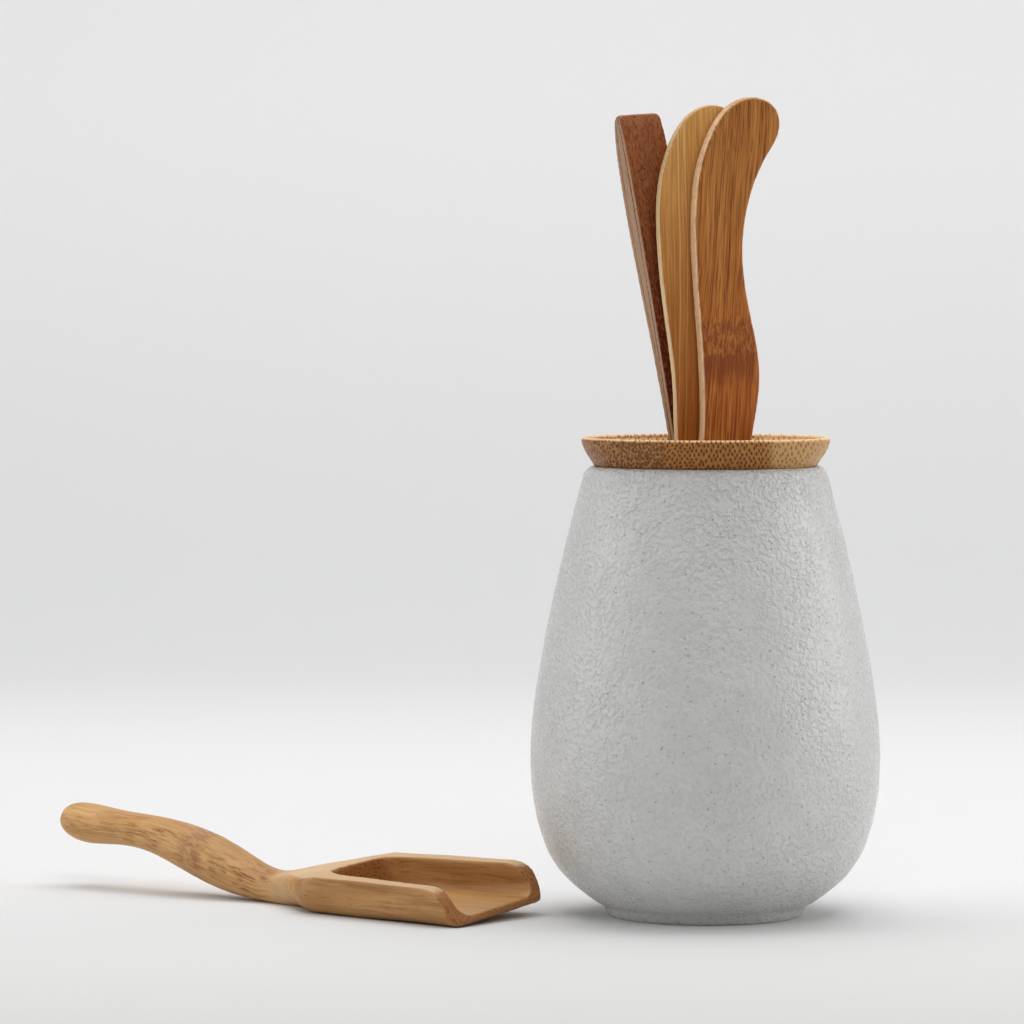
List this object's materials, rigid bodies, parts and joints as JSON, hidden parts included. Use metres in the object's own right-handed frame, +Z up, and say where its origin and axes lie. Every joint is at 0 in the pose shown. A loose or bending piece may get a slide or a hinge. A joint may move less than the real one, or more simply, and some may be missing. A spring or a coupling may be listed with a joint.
{
  "type": "tea utensil set in jar",
  "caption": "Ceramic jar with a bamboo funnel collar, holding bamboo tongs, needle and spoon, with a carved bamboo scoop lying beside it.",
  "frame": {"origin": "on the jar's axis, in the plane of the foot it stands on", "axes": "+Z up along the jar's axis, +X to the right, -Y to the front; the scoop lies to the left (-X)"},
  "size_m": [0.201, 0.1087, 0.1947],
  "materials": {
    "sand_glaze": "semi-gloss glaze over a fine sand texture",
    "collar_bamboo": "oiled, end grain and fibre ends",
    "spoon_bamboo": "carbonised bamboo, satin",
    "needle_bamboo": "natural bamboo, satin",
    "tongs_bamboo": "dark carbonised bamboo, satin",
    "pin_bamboo": "dowel end grain",
    "scoop_bamboo": "carved bamboo, satin"
  },
  "bodies": {
    "jar": {"jar": "sand_glaze"},
    "collar": {"funnel_collar": "collar_bamboo"},
    "scoop": {"tea_scoop": "scoop_bamboo"},
    "spoon": {"tea_spoon": "spoon_bamboo"},
    "needle": {"tea_needle": "needle_bamboo"},
    "tongs": {"tongs_wedge": "tongs_bamboo", "tongs_front_root": "tongs_bamboo", "tongs_back_root": "tongs_bamboo", "tongs_pin": "pin_bamboo"},
    "tongs_front": {"tongs_front_arm": "tongs_bamboo"},
    "tongs_back": {"tongs_back_arm": "tongs_bamboo"}
  },
  "joints": [
    {"name": "collar_lift", "type": "slide", "parent": "jar", "child": "collar", "axis": [0, 0, 1], "range_m": [0, 0.06]},
    {"name": "spoon_lift", "type": "slide", "parent": "jar", "child": "spoon", "axis": [0, 0, 1], "range_m": [0, 0.12]},
    {"name": "needle_lift", "type": "slide", "parent": "jar", "child": "needle", "axis": [-0.0509, -0.0206, 0.9985], "range_m": [0, 0.12]},
    {"name": "tongs_lift", "type": "slide", "parent": "jar", "child": "tongs", "axis": [-0.1705, -0.0874, 0.9815], "range_m": [0, 0.12]},
    {"name": "tongs_front_pinch", "type": "hinge", "parent": "tongs", "child": "tongs_front", "pos_m": [-0.0027, 0.00461, 0.10781], "axis": [0.9133, 0.36, 0.1906], "range_deg": [0, 1.9], "stiffness_Nm_per_rad": 0.4},
    {"name": "tongs_back_pinch", "type": "hinge", "parent": "tongs", "child": "tongs_back", "pos_m": [-0.00346, 0.0065, 0.1079], "axis": [0.9133, 0.36, 0.1906], "range_deg": [-1.9, 0], "stiffness_Nm_per_rad": 0.4},
    {"name": "scoop_lift", "type": "slide", "parent": "jar", "child": "scoop", "axis": [-0.5, 0, 0.866], "range_m": [0, 0.06]}
  ],
  "couplings": [
    {"joint": "tongs_back_pinch", "follows": "tongs_front_pinch", "ratio": -1}
  ]
}
